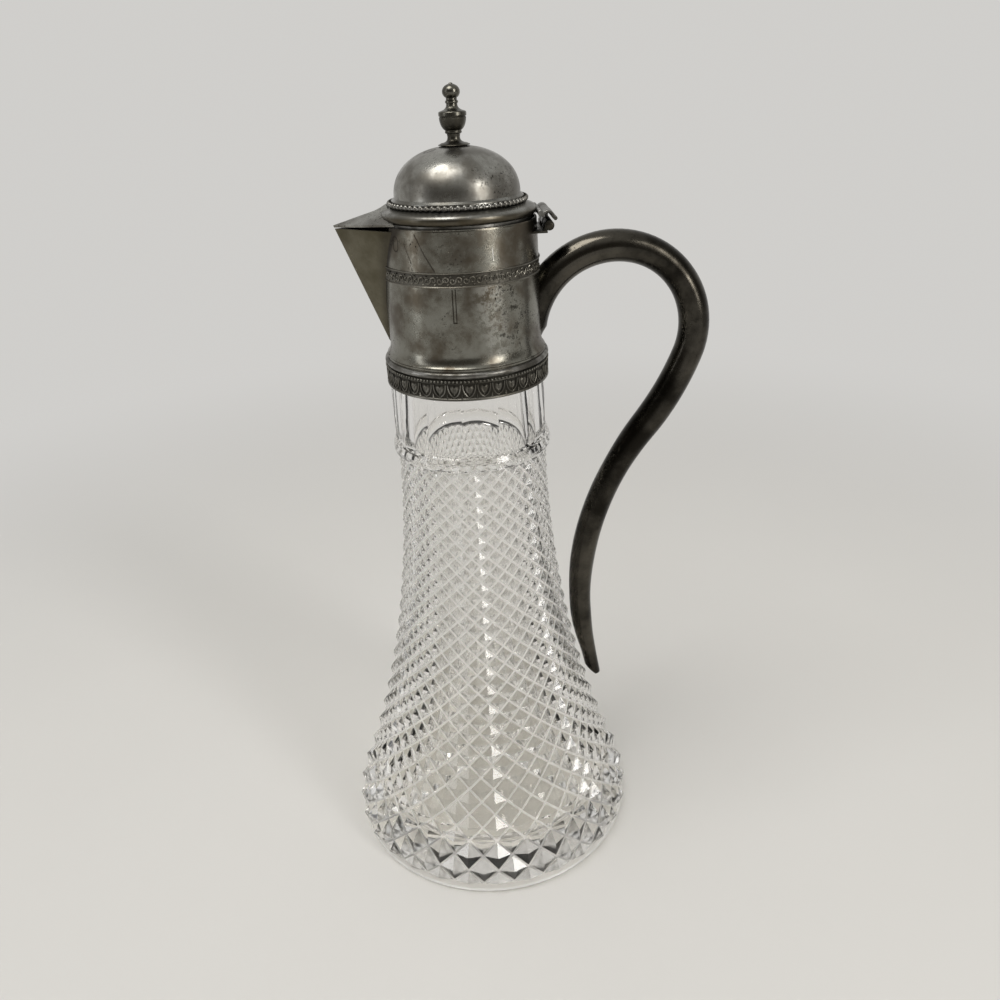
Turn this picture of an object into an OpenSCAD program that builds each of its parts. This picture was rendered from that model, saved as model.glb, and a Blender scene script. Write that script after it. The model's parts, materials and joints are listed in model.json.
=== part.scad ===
// Claret jug: a pressed glass vessel under a silver-plated collar, with a V-shaped spout, a tube
// handle and a hinged, domed lid. Millimetres. The foot stands on z = 0, the jug's axis is Z,
// the handle is towards +X and the spout towards -X.

/* [Glass vessel] */
// Radius of the flat foot
foot_r = 60.7; // [56:0.1:61]
// Radius of the widest line, just above the foot
belly_r = 62; // [61.5:0.1:64]
// Height of the widest line
belly_z = 10; // [8:0.5:12]
// Radius at the top of the patterned body
waist_r = 28.1; // [27.8:0.1:28.3]
// Height of the top of the patterned body
waist_z = 175.5; // [172:0.5:176]
// Radius of the ledge under the neck
ledge_r = 29.6; // [29.2:0.1:30]
// Radius of the neck at the corners between its panels
neck_r = 28.5; // [28.4:0.1:28.8]
// Number of flat panels round the neck
neck_panels = 14; // [12:2:18]
// Turn of the panels round the axis, in degrees
panel_turn = 6.4; // [0:0.1:12]
// Thickness of the glass in the body
glass_wall = 4.6; // [3.5:0.1:5.5]
// Thickness of the glass floor
glass_floor = 9; // [7:0.5:12]

/* [Collar] */
// Height of the collar's lower edge
collar_z = 202.5; // [202.5:0.5:204]
// Height of the collar's mouth
mouth_z = 257.3; // [257:0.1:257.5]
// Outer radius of the collar at its mouth
mouth_r = 26.3; // [26:0.1:26.4]
// Outer radius of the collar above its cove
sleeve_r = 27.4; // [27:0.1:27.6]
// Outer radius of the leaf band
leaf_band_r = 29.4; // [29.2:0.1:30]
// Thickness of the collar's sheet
sheet = 0.8; // [0.6:0.1:0.9]
// Middle height of the scroll band
scroll_z = 242; // [236:0.5:246]
// Height of the scroll band
scroll_h = 4.8; // [3:0.2:6]

/* [Spout] */
// Distance from the jug's axis to the spout's tip
spout_reach = 42.1; // [38:0.1:45]
// Height of the spout's rim
spout_z = 256; // [255:0.1:256]
// Height where the spout's front edge meets the collar
spout_low_z = 216.5; // [215:0.5:222]
// Half the width of the spout at the collar
spout_half_w = 11; // [9:0.5:11.5]

/* [Handle] */
// Radius of the tube at the collar
handle_root_r = 6; // [5.6:0.1:6]
// Radius of the tube at its open lower end
handle_tail_r = 3; // [2.5:0.1:3]
// Thickness of the tube's wall
handle_wall = 1; // [0.8:0.1:1.2]

/* [Lid] */
// Height of the lid's lower edge
lid_z = 258; // [257.9:0.1:258.2]
// Largest radius of the lid's rim
lid_r = 26.1; // [25.8:0.1:26.3]
// Radius of the dome
dome_r = 21.1; // [20.5:0.1:21.3]
// Height of the dome above its foot
dome_h = 15.1; // [14.9:0.1:15.3]
// Radius of the finial's cup
cup_r = 4.5; // [3.8:0.1:5]
// Radius of the finial's ball
ball_r = 2.85; // [2.5:0.05:3]

/* [Hinge] */
// Distance from the jug's axis to the hinge pin
hinge_x = 29.6; // [29.5:0.1:30]
// Height of the hinge pin
hinge_z = 255; // [254.8:0.1:255.1]
// Length of the hinge along its pin
hinge_l = 22; // [16:1:22]
// Outer radius of the hinge's tubes
knuckle_r = 1.6; // [1.5:0.05:1.65]
// Radius of the hinge pin
pin_r = 0.8; // [0.6:0.05:0.85]

/* [Hidden] */
$fn = 96;

glass_c = [0.82, 0.86, 0.83, 0.45];
plaster_c = [0.88, 0.86, 0.80];
plate_c = [0.42, 0.41, 0.38];
bright_c = [0.60, 0.59, 0.56];
dark_c = [0.16, 0.15, 0.13];
spout_c = [0.36, 0.33, 0.24];
brass_c = [0.62, 0.50, 0.25];

seam = 0.03;                    // gap between two pieces that are soldered or bedded together
tenon_r = 25.2;                 // glass inside the collar
tenon_top = 224;
neck_z = waist_z + 7;            // lower ends of the neck's panels
band_h = 7.2;                   // height of the leaf band
step_z = collar_z + band_h + 1.3;
step_wire_r = 1.1;
cove_top = step_z + 5.5;
foot_sleeve_r = leaf_band_r - 1;
dome_z = lid_z + 6.9;           // foot of the dome
dome_power = 2.2;
stud_r = 1.5;
stud_gap = 0.05;
bead_wire_r = 0.8;
knuckle_l = (hinge_l - 2) / 3;
pin_gap = 0.05;
beak_wall = 0.8;

function bezier(p, n) = [for (i = [0:n]) let (t = i / n)
    pow(1 - t, 3) * p[0] + 3 * t * pow(1 - t, 2) * p[1] + 3 * t * t * (1 - t) * p[2] + pow(t, 3) * p[3]];

function arc(c, r, a0, a1, n, squash = 1) = [for (i = [0:n]) let (a = a0 + (a1 - a0) * i / n)
    c + r * [cos(a), squash * sin(a)]];

// ---- glass ----

// Half section of the outside of the glass, from the foot to the lower ends of the panels
function glass_outside() = concat(
    bezier([[foot_r, 0], [foot_r + 0.9, 2], [belly_r + 0.6, belly_z - 2], [belly_r, belly_z]], 6),
    bezier([[belly_r, belly_z], [belly_r * 0.79, belly_z + 29], [waist_r + 0.9, waist_z * 0.58],
        [waist_r, waist_z]], 28),
    bezier([[waist_r, waist_z + 0.3], [ledge_r, waist_z + 0.5], [ledge_r + 0.1, waist_z + 1.4],
        [ledge_r, waist_z + 2.4]], 4),
    bezier([[ledge_r, waist_z + 2.5], [ledge_r - 0.1, waist_z + 4], [neck_r, waist_z + 5],
        [neck_r, neck_z]], 6));

// Half section of the cavity, from the middle of the floor to the mouth
function glass_inside() = concat(
    [[0, glass_floor], [belly_r - 16, glass_floor + 1]],
    bezier([[belly_r - glass_wall - 1.4, belly_z + 6], [belly_r * 0.79 - glass_wall - 1, belly_z + 34],
        [waist_r - glass_wall + 0.8, waist_z * 0.58], [waist_r - glass_wall, waist_z]], 24),
    [[tenon_r - 4, collar_z], [tenon_r - 4, tenon_top]]);

module glass_body() {
    neck_top = collar_z - 0.1;
    flat_r = neck_r * cos(180 / neck_panels);
    inside = glass_inside();
    color(glass_c) difference() {
        rotate_extrude() polygon(concat([[0, 0]], glass_outside(),
            [[neck_r, neck_top], [tenon_r, neck_top], [tenon_r, tenon_top]],
            [for (i = [len(inside) - 1:-1:0]) inside[i]]));
        for (i = [0:neck_panels - 1]) rotate(panel_turn + (i + 0.5) * 360 / neck_panels)
            translate([flat_r, -neck_r / 3, neck_z - 1]) cube([3, neck_r / 1.5, 40]);
    }
}

module plaster_bed() {
    back = sheet + seam;
    top = tenon_top - 1;
    color(plaster_c) rotate_extrude() polygon(concat([[tenon_r + seam, top], [tenon_r + seam, collar_z + 0.8],
        [foot_sleeve_r - back, collar_z + 0.8]],
        [for (p = collar_outside()) if (p.y > step_z && p.y < top) p - [back, 0]],
        [[collar_r(top) - back, top]]));
}

// ---- collar ----

// Half section of the outside of the collar's sheet
function collar_outside() = concat(
    [[foot_sleeve_r, collar_z + 0.7], [foot_sleeve_r, step_z + 1]],
    bezier([[foot_sleeve_r - 0.1, step_z + 1.2], [foot_sleeve_r - 0.4, step_z + 2.5],
        [sleeve_r + 0.1, cove_top - 2], [sleeve_r, cove_top]], 8),
    [[mouth_r, mouth_z]]);

function collar_r(z) = sleeve_r + (mouth_r - sleeve_r) * (z - cove_top) / (mouth_z - cove_top);

// Everything inside the outer face of the collar
module collar_core(grow = 0) {
    rotate_extrude() polygon(concat([[0, collar_z - 10], [foot_sleeve_r, collar_z - 10]],
        [for (p = collar_outside()) p + [grow, 0]], [[mouth_r + grow, mouth_z + 20], [0, mouth_z + 20]]));
}

module collar_wall() {
    outside = collar_outside();
    color(plate_c) difference() {
        rotate_extrude() polygon(concat(outside,
            [for (i = [len(outside) - 1:-1:0]) outside[i] - [sheet, 0]]));
        spout_channel();
    }
}

module leaf_band() {
    inner = foot_sleeve_r + seam;
    top = collar_z + band_h;
    color(dark_c) rotate_extrude() polygon([[inner, collar_z], [leaf_band_r, collar_z],
        [leaf_band_r, collar_z + 0.8], [leaf_band_r - 0.25, collar_z + 1],
        [leaf_band_r - 0.35, top - 1.6], [leaf_band_r - 0.1, top - 1.4], [leaf_band_r - 0.1, top - 0.2],
        [leaf_band_r - 0.3, top], [inner, top]]);
}

module step_ring() {
    color(bright_c) rotate_extrude() difference() {
        translate([foot_sleeve_r - 0.2, step_z]) circle(r = step_wire_r, $fn = 48);
        translate([foot_sleeve_r + seam - 4, step_z - 3]) square([4, 6]);
    }
}

module scroll_band() {
    z0 = scroll_z - scroll_h / 2;
    z1 = scroll_z + scroll_h / 2;
    color(dark_c) difference() {
        rotate_extrude() polygon([[collar_r(z0) + seam, z0], [collar_r(z0) + 0.5, z0],
            [collar_r(z0) + 0.5, z0 + 0.5], [collar_r(z0) + 0.3, z0 + 0.6],
            [collar_r(z1) + 0.3, z1 - 0.6], [collar_r(z1) + 0.5, z1 - 0.5], [collar_r(z1) + 0.5, z1],
            [collar_r(z1) + seam, z1]]);
        spout_wedge(1, 0.3);
        translate([20, -5.4, z0 - 1]) cube([12, 10.8, scroll_h / 2 + 2]);
    }
}

// ---- spout ----

spout_tip = [-spout_reach, 0, spout_z];
spout_foot = [-collar_r(spout_low_z), 0, spout_low_z];
spout_corner = [-23.5, spout_half_w, spout_z];

// Solid wedge between the spout's two faces, grown from its foot by a factor, and pushed along X
module spout_wedge(factor = 1, forward = 0) {
    tip = factor * (spout_tip - spout_foot);
    corner = factor * (spout_corner - spout_foot);
    mirrored = [corner.x, -corner.y, corner.z];
    back = [9, 0, 0];
    translate(spout_foot - [forward, 0, 0]) hull() polyhedron(
        points = [[0, 0, 0], tip, corner, mirrored, back, corner + back, mirrored + back],
        faces = [[0, 1, 2], [0, 3, 1], [1, 3, 2], [0, 2, 5, 4], [0, 4, 6, 3], [2, 3, 6, 5], [4, 5, 6]]);
}

// How far a face moves inwards along X for one sheet's thickness
spout_normal = cross(spout_tip - spout_foot, spout_corner - spout_foot);
spout_inset = sheet * norm(spout_normal) / abs(spout_normal.x);

module spout_channel() {
    spout_wedge(1.25, -spout_inset);
}

module spout() {
    color(spout_c) difference() {
        spout_wedge();
        spout_channel();
        collar_core(seam);
    }
}

// ---- handle ----

handle_sides = 20;
handle_start = [23.4, 220];         // on the centre line, inside the collar
handle_heading = 81.8;
// Bends from the collar down: radius of each, and its turn in degrees (minus is clockwise)
handle_bends = [[30.1, -66.4], [29.6, -125.7], [106.7, -16.8], [121.3, 49.6], [268.7, -2.6]];
// Tube radii at equal steps along the handle
handle_radii = [handle_root_r, 5.7, 5.4, 5.6, 5.7, 5.1, 5.1, 4.5, handle_tail_r];
root_run = 46;                      // length over which the slanted joint with the collar fades out
cut_point = [46.2, 66.8];           // a point of the slanted cut at the lower end
cut_run = 18;
bend_lengths = [for (b = handle_bends) b[0] * abs(b[1]) * PI / 180];
function sum(v, n) = n == 0 ? 0 : v[n - 1] + sum(v, n - 1);
handle_len = sum(bend_lengths, len(handle_bends));

// Point of a bend after a length along it, from its start [x, z, heading]
function along_bend(s, bend, d) = let (way = sign(bend[1]), turn = way * d / bend[0] * 180 / PI,
    r = bend[0] * way) [s[0] + r * (sin(s[2] + turn) - sin(s[2])), s[1] - r * (cos(s[2] + turn) - cos(s[2])),
    s[2] + turn];

// Point of the whole centre line at a distance from its start
function centre_at(d, s = [handle_start[0], handle_start[1], handle_heading], b = 0) =
    d <= bend_lengths[b] || b == len(handle_bends) - 1 ? along_bend(s, handle_bends[b], d) :
    centre_at(d - bend_lengths[b], along_bend(s, handle_bends[b], bend_lengths[b]), b + 1);

function handle_r(d) = let (n = len(handle_radii) - 1, u = max(0, min(n, d / handle_len * n)),
    i = min(floor(u), n - 1)) handle_radii[i] + (handle_radii[i + 1] - handle_radii[i]) * (u - i);

// Point of the tube's surface at a distance d and an angle a, with its wall taken off for the inside
function tube_point(d, a, wall) = let (c = centre_at(d), r = handle_r(d) - wall,
    side = [-sin(c[2]), 0, cos(c[2])]) [c[0], 0, c[1]] + r * (cos(a) * side + sin(a) * [0, 1, 0]);

// How far a point lies outside the collar, and how far it lies past the slanted cut
function past_collar(p) = norm([p.x, p.y]) - collar_r(p.z) - seam;
function past_cut(p) = (cut_point[0] - p.x) + (cut_point[1] - p.z);

// Distances at which one line of the surface leaves the collar and reaches the cut
function leave_collar(a, wall, lo = 0, hi = 44, n = 16) = let (m = (lo + hi) / 2) n == 0 ? m :
    past_collar(tube_point(m, a, wall)) > 0 ? leave_collar(a, wall, lo, m, n - 1) :
    leave_collar(a, wall, m, hi, n - 1);
function reach_cut(a, wall, lo, hi, n = 16) = let (m = (lo + hi) / 2) n == 0 ? m :
    past_cut(tube_point(m, a, wall)) > 0 ? reach_cut(a, wall, lo, m, n - 1) :
    reach_cut(a, wall, m, hi, n - 1);

// Nominal distances of the rings
handle_rings = concat([for (i = [0:13]) i * root_run / 14], [for (i = [0:31]) root_run
    + i * (handle_len - root_run - cut_run) / 32], [for (i = [0:4]) handle_len - cut_run + i * cut_run / 4]);

// One line of the surface, from the collar to the cut
function tube_line(a, wall) = let (first = leave_collar(a, wall), far = handle_len - cut_run,
    last = reach_cut(a, wall, far, handle_len + 8))
    [for (d = handle_rings) let (s = d < root_run ? first + (root_run - first) * d / root_run :
        d > far ? far + (last - far) * (d - far) / cut_run : d) tube_point(s, a, wall)];

module handle_tube() {
    n = len(handle_rings);
    k = handle_sides;
    outer_lines = [for (j = [0:k - 1]) tube_line(j * 360 / k, 0)];
    inner_lines = [for (j = [0:k - 1]) tube_line(j * 360 / k, handle_wall)];
    points = concat([for (i = [0:n - 1], j = [0:k - 1]) outer_lines[j][i]],
        [for (i = [0:n - 1], j = [0:k - 1]) inner_lines[j][i]]);
    inner = n * k;
    last = (n - 1) * k;
    wall = [for (i = [0:n - 2], j = [0:k - 1]) let (a = i * k + j, b = i * k + (j + 1) % k)
        each [[a, a + k, b], [b, a + k, b + k],
            [inner + a, inner + b, inner + a + k], [inner + b, inner + b + k, inner + a + k]]];
    ends = [for (j = [0:k - 1]) let (m = (j + 1) % k)
        each [[j, m, inner + m], [j, inner + m, inner + j],
            [last + j, last + inner + m, last + m], [last + j, last + inner + j, last + inner + m]]];
    color(dark_c) polyhedron(points = points, faces = concat(wall, ends));
}

// ---- hinge ----

module along_pin(y0, y1, r, bore = 0) {
    translate([hinge_x, y0, hinge_z]) rotate([-90, 0, 0]) difference() {
        cylinder(r = r, h = y1 - y0, $fn = 48);
        if (bore > 0) translate([0, 0, -1]) cylinder(r = bore, h = y1 - y0 + 2, $fn = 48);
    }
}

module hinge_bracket() {
    shelf_z = hinge_z - knuckle_r - 0.75;
    shelf_h = 0.7;
    end_x = hinge_x - 0.6;
    color(plate_c) difference() {
        union() {
            translate([mouth_r - 6, -hinge_l / 2, shelf_z]) cube([end_x - mouth_r + 6, hinge_l, shelf_h]);
            for (y = [-hinge_l / 2, knuckle_l / 2 + 0.4]) translate([end_x - 1.2, y, shelf_z])
                cube([1.2, hinge_l / 2 - knuckle_l / 2 - 0.4, 1.9]);
        }
        collar_core(seam);
        along_pin(-hinge_l, hinge_l, knuckle_r + seam);
    }
}

module knuckle_front() {
    color(plate_c) along_pin(-hinge_l / 2, -knuckle_l / 2 - 0.1, knuckle_r, pin_r + 0.02);
}

module knuckle_back() {
    color(plate_c) along_pin(knuckle_l / 2 + 0.1, hinge_l / 2, knuckle_r, pin_r + 0.02);
}

module knuckle_lid() {
    color(plate_c) along_pin(-knuckle_l / 2, knuckle_l / 2, knuckle_r, pin_r + pin_gap);
}

module hinge_pin() {
    color(brass_c) {
        along_pin(-hinge_l / 2 - 0.1, hinge_l / 2 + 0.1, pin_r);
        along_pin(-hinge_l / 2 - 0.5, -hinge_l / 2 - 0.05, pin_r + 0.4);
        along_pin(hinge_l / 2 + 0.05, hinge_l / 2 + 0.5, pin_r + 0.4);
    }
}

// Centre and radius of each reed of the cover, in the X-Z plane, measured from the pin
reeds = [[-3, 4, 0.85], [-0.4, 2.8, 2], [2, 2.2, 0.65]];
cover_wall = 0.7;

module reed_section(reed) {
    translate([reed[0], reed[1]]) difference() {
        circle(r = reed[2], $fn = 48);
        if (reed[2] > 1) circle(r = reed[2] - cover_wall, $fn = 48);
        if (reed[2] > 1) translate([-5, -10]) square([10, 10]);
    }
}

module hinge_strap() {
    color(bright_c) difference() {
        union() {
            translate([hinge_x, hinge_l / 2, hinge_z]) rotate([90, 0, 0]) linear_extrude(hinge_l) {
                for (reed = reeds) reed_section(reed);
                translate([-3, 3.1]) square([1.2, 0.9]);
                translate([1, 2.3]) square([0.9, 0.9]);
            }
            translate([hinge_x, knuckle_l / 2, hinge_z]) rotate([90, 0, 0]) linear_extrude(knuckle_l) {
                translate([-9, 3.2]) square([7, 0.8]);
                translate([-0.7, 0.5]) square([1, 3]);
                translate([-2.2, 2.8]) square([3.6, cover_wall]);
            }
        }
        lid_core(seam);
        along_pin(-hinge_l, hinge_l, knuckle_r + seam);
    }
}

// ---- lid ----

// Half section of the outside of the lid's rim, from its lower edge to the foot of the dome
function rim_outside() = concat(
    arc([lid_r - 1.7, lid_z + 1.7], 1.7, -80, 62, 12),
    bezier([[lid_r - 1.2, lid_z + 3.3], [lid_r - 2.2, lid_z + 3.7], [lid_r - 3.2, lid_z + 4],
        [lid_r - 3.7, lid_z + 4.6]], 5),
    [[dome_r + 1, dome_z - 0.7], [dome_r + 0.1, dome_z]]);

// Everything inside the outer face of the lid's rim
module lid_core(grow = 0) {
    rotate_extrude() polygon(concat([[0, lid_z - 4], [lid_r - 1.5, lid_z - 4], [lid_r - 1.5, lid_z]],
        [for (p = rim_outside()) p + [grow, 0]], [[0, dome_z]]));
}

module lid_flange() {
    color(plate_c) rotate_extrude() polygon(concat(rim_outside(),
        [[dome_r - 0.8, dome_z], [dome_r - 0.8, lid_z + 4], [lid_r - 4, lid_z + 2.6],
        [lid_r - 2.2, lid_z + 1.9], [lid_r - 1.9, lid_z + 1], [lid_r - 2.2, lid_z + 0.1]]));
}

module lid_beak() {
    tip = [-spout_reach - 0.2, 0, spout_z + 0.6];
    corner = [-20, spout_half_w + 1, lid_z + 0.1];
    ridge = [-20, 0, lid_z + 5.1];
    points = [tip, tip + [0.4, 0, 0.8], corner, [corner.x, -corner.y, corner.z],
        ridge + [0, 1.5, -0.3], ridge - [0, 1.5, 0.3]];
    faces = [[0, 1, 2], [0, 3, 1], [0, 2, 3], [1, 4, 2], [1, 3, 5], [1, 5, 4], [2, 4, 5, 3]];
    color(plate_c) difference() {
        hull() polyhedron(points = points, faces = faces);
        translate([2.4 * beak_wall, 0, -beak_wall]) hull() polyhedron(
            points = concat(points, [for (p = points) p - [0, 0, 2]]), faces = faces);
        lid_core(seam);
    }
}

module lid_bezel() {
    color(plate_c) rotate_extrude() translate([lid_r - 2.5, lid_z - 2]) square([sheet, 2.05]);
}

module bead_ring() {
    color(bright_c) rotate_extrude() difference() {
        translate([dome_r + 1.7, lid_z + 5.4]) circle(r = bead_wire_r, $fn = 32);
        polygon(concat([[0, lid_z]], [for (p = rim_outside()) p + [seam, 0]], [[0, dome_z]]));
    }
}

function dome_curve(r, h, n) = [for (i = [0:n]) let (a = 90 * i / n)
    [r * pow(cos(a), 2 / dome_power), dome_z + h * pow(sin(a), 2 / dome_power)]];

module lid_dome() {
    inner = dome_curve(dome_r - sheet, dome_h - sheet, 20);
    color(plate_c) difference() {
        rotate_extrude() polygon(concat(dome_curve(dome_r, dome_h, 20),
            [for (i = [20:-1:0]) inner[i] + [0, i == 0 ? 0 : 0.01]]));
        translate([0, 0, dome_z]) cylinder(r = stud_r + stud_gap, h = dome_h + 5, $fn = 48);
    }
}

// ---- finial ----

module finial() {
    base = dome_z + dome_h - 0.3;
    color(bright_c) {
        difference() {
            rotate_extrude() polygon(concat(
                [[0, base], [5.2, base], [5.2, base + 0.5], [4.6, base + 0.8]],
                bezier([[4.2, base + 1], [2.2, base + 1.2], [1.9, base + 2.2], [2.1, base + 3.2]], 6),
                [[2.7, base + 3.9], [2.7, base + 4.5]],
                bezier([[2.7, base + 4.6], [3.8, base + 5.4], [cup_r - 0.1, base + 7], [cup_r - 0.1, base + 8.6]], 7),
                [[cup_r, base + 8.9], [cup_r, base + 10.1], [cup_r - 0.4, base + 10.5]],
                bezier([[cup_r - 0.5, base + 10.6], [2.2, base + 11], [1.8, base + 11.6], [1.9, base + 12.6]], 6),
                [[2.1, base + 12.8], [2.1, base + 13.4], [1.7, base + 13.6]],
                arc([0, base + 15.9], ball_r, -50, 78, 12, 0.8),
                [[0.6, base + 18.3], [0.4, base + 18.5], [0, base + 18.5]]));
            translate([0, 0, seam]) rotate_extrude() polygon(concat([[0, dome_z]], dome_curve(dome_r, dome_h, 20)));
        }
        translate([0, 0, base - 6]) cylinder(r = stud_r, h = 7, $fn = 48);
    }
}

module finial_washer() {
    color(brass_c) translate([0, 0, dome_z + dome_h - sheet - 1.3]) difference() {
        cylinder(r = 4.4, h = 0.8, $fn = 48);
        translate([0, 0, -1]) cylinder(r = stud_r + stud_gap, h = 3, $fn = 48);
    }
}

module finial_nut() {
    color(brass_c) translate([0, 0, dome_z + dome_h - sheet - 3.8]) difference() {
        cylinder(r = 3.3, h = 2.45, $fn = 6);
        translate([0, 0, -1]) cylinder(r = stud_r + stud_gap, h = 5, $fn = 48);
    }
}

glass_body();
plaster_bed();
collar_wall();
leaf_band();
step_ring();
scroll_band();
spout();
handle_tube();
hinge_bracket();
knuckle_front();
knuckle_back();
hinge_pin();
knuckle_lid();
hinge_strap();
lid_flange();
lid_beak();
lid_bezel();
bead_ring();
lid_dome();
finial();
finial_washer();
finial_nut();
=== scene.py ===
"""A pressed glass claret jug with a silver-plated collar, a folded spout, a bent tube handle and a
hinged, domed lid. Lengths are in millimetres, the foot stands on z = 0, and the handle is towards +X."""
import json
import math

import bmesh
import bpy
from mathutils import Matrix, Vector

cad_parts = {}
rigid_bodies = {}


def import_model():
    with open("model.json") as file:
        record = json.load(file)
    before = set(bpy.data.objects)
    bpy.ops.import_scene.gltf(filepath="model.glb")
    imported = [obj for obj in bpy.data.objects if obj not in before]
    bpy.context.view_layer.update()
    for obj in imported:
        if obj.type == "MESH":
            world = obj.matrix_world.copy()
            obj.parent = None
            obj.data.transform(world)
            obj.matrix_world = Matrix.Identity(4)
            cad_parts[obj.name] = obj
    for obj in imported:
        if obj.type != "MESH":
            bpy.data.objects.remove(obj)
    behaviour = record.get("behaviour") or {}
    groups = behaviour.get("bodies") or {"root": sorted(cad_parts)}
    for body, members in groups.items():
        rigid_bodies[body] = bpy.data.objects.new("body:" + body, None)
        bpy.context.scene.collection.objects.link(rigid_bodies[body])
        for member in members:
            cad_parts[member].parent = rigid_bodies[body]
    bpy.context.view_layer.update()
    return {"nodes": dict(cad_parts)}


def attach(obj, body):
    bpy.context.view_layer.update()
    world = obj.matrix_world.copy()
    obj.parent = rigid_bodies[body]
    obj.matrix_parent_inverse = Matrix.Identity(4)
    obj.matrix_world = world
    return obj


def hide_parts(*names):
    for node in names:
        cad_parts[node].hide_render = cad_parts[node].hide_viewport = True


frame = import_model()
MM = 0.001
TURN = 2 * math.pi

# ---- the jug's main sizes ----
BELLY = ((62, 10), (48.98, 39), (29, 101.8), (28.1, 175.5))     # profile of the body, from the foot up
FOOT_R = 60.7
DIAMONDS = 30                # diamonds round the body
RELIEF = 0.034               # depth of the grooves, as a share of the body's radius there
GROOVE_W = 0.85              # width of the grooves' bottoms
POKE = 0.42                  # height of a diamond's tip over its ground, as a share of its half width
PATTERN_TOP, PATTERN_LOW = 174.6, 2.2
LEDGE_R, NECK_R, NECK_Z, NECK_TOP = 29.6, 28.5, 182.5, 202.4
PANELS, PANEL_TURN = 14, math.radians(6.4)
TENON_R, TENON_TOP = 25.2, 224
COLLAR_Z, STEP_Z, COVE_TOP, MOUTH_Z = 202.5, 211, 216.5, 257.3
SLEEVE_R, MOUTH_R, COVE_R, SHEET = 27.4, 26.3, 26.95, 0.8
BAND_R, BAND_BACK_R, BAND_TOP = 29.4, 28.43, 209.7
LEAF_COUNT, BAND_BEADS, LID_BEADS, SCROLL_COUNT = 36, 140, 70, 40
SCROLL_Z, SCROLL_H = 242, 4.8
SPOUT_GAP, HANDLE_GAP = 9.6, 5.6    # half widths left free of scrolls
SPOUT_TIP, SPOUT_FOOT = (-42.1, 0, 256), (-27.4, 0, 216.5)
SPOUT_CORNER, SPOUT_INSET = (-21.9, 14.9, 256), 1.6
HINGE_X, HINGE_Z, HINGE_L, BARREL_R = 29.6, 255, 22, 1.6
BARREL_L = (HINGE_L - 2) / 3
PIN_R, FIXED_BORE, LID_BORE = 0.8, 0.82, 0.85
CLEAR = 0.03                 # gap where one piece is cut to another
LID_Z, LID_R, DOME_R, DOME_Z, DOME_H = 258, 26.1, 21.1, 264.9, 15.1
HANDLE_START, HANDLE_HEADING = (23.4, 220), 81.8
HANDLE_BENDS = ((30.1, -66.4), (29.6, -125.7), (106.7, -16.8), (121.3, 49.6), (268.7, -2.6))
HANDLE_RADII = (6, 5.7, 5.4, 5.6, 5.7, 5.1, 5.1, 4.5, 3)
HANDLE_CUT, HANDLE_END_Z = (46.2, 64.6), 62.8
HANDLE_WALL, ROOF_SHEET = 1.0, 0.7
DOME_POWER = 2 / 2.2         # 1 is a round dome, less is a squarer one


# ---- hand tools ----

def free():
    """Leaves edit mode with nothing selected."""
    if bpy.context.mode != "OBJECT":
        bpy.ops.object.mode_set(mode="OBJECT")
    bpy.ops.object.select_all(action="DESELECT")


def hold(*objs):
    free()
    for obj in objs:
        obj.select_set(True)
    bpy.context.view_layer.objects.active = objs[0]


def placed(name, data):
    """A new object in the scene."""
    obj = bpy.data.objects.new(name, data)
    bpy.context.scene.collection.objects.link(obj)
    return obj


def titled(name):
    """Names the newest object and moves its origin to the world's."""
    obj = bpy.context.object
    obj.name = obj.data.name = name
    bpy.ops.object.transform_apply(location=True, rotation=True, scale=True)
    return obj


def pick(obj, what, test):
    """In edit mode, selects the corners, edges or faces that pass a test."""
    hold(obj)
    bpy.ops.object.mode_set(mode="EDIT")
    bpy.ops.mesh.select_mode(type=what)
    bpy.ops.mesh.select_all(action="DESELECT")
    shape = bmesh.from_edit_mesh(obj.data)
    count = 0
    for item in {"VERT": shape.verts, "EDGE": shape.edges, "FACE": shape.faces}[what]:
        if test(item):
            item.select_set(True)
            count += 1
    shape.select_flush_mode()
    bmesh.update_edit_mesh(obj.data)
    return count


def whole(obj):
    """Opens an object in edit mode, with all of it selected."""
    hold(obj)
    bpy.ops.object.mode_set(mode="EDIT")
    bpy.ops.mesh.select_all(action="SELECT")


def eased(width, segments=2, **more):
    """Bevels the selected edges."""
    bpy.ops.mesh.bevel(offset=width * MM, segments=segments, affect="EDGES", **more)


def tidy(obj, angle=35):
    """Merges doubles, turns the faces outwards and smooths all but the sharp edges."""
    whole(obj)
    bpy.ops.mesh.remove_doubles(threshold=1e-6)
    bpy.ops.mesh.normals_make_consistent(inside=False)
    bpy.ops.object.mode_set(mode="OBJECT")
    bpy.ops.object.shade_smooth_by_angle(angle=math.radians(angle))
    return obj


def modify(obj, kind, **values):
    """Adds a modifier and applies it."""
    hold(obj)
    modifier = obj.modifiers.new(kind.title(), kind)
    for key, value in values.items():
        setattr(modifier, key, value)
    bpy.ops.object.modifier_apply(modifier=modifier.name)
    return obj


def carve(obj, cutter, operation="DIFFERENCE"):
    modify(obj, "BOOLEAN", object=cutter, operation=operation, solver="EXACT")
    bpy.data.objects.remove(cutter)
    return obj


def welded(name, first, *others):
    """Makes one closed solid of several that overlap."""
    for other in others:
        carve(first, other, "UNION")
    first.name = first.data.name = name
    return first


def joined(name, *objs):
    hold(*objs)
    bpy.ops.object.join()
    return titled(name)


def ring(name, sides, radius, height):
    """Draws a ring and opens it, with all of it selected."""
    free()
    bpy.ops.mesh.primitive_circle_add(vertices=sides, radius=radius * MM, location=(0, 0, height * MM))
    obj = titled(name)
    bpy.ops.object.mode_set(mode="EDIT")
    bpy.ops.mesh.select_mode(type="VERT")
    bpy.ops.mesh.select_all(action="SELECT")
    return obj


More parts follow.
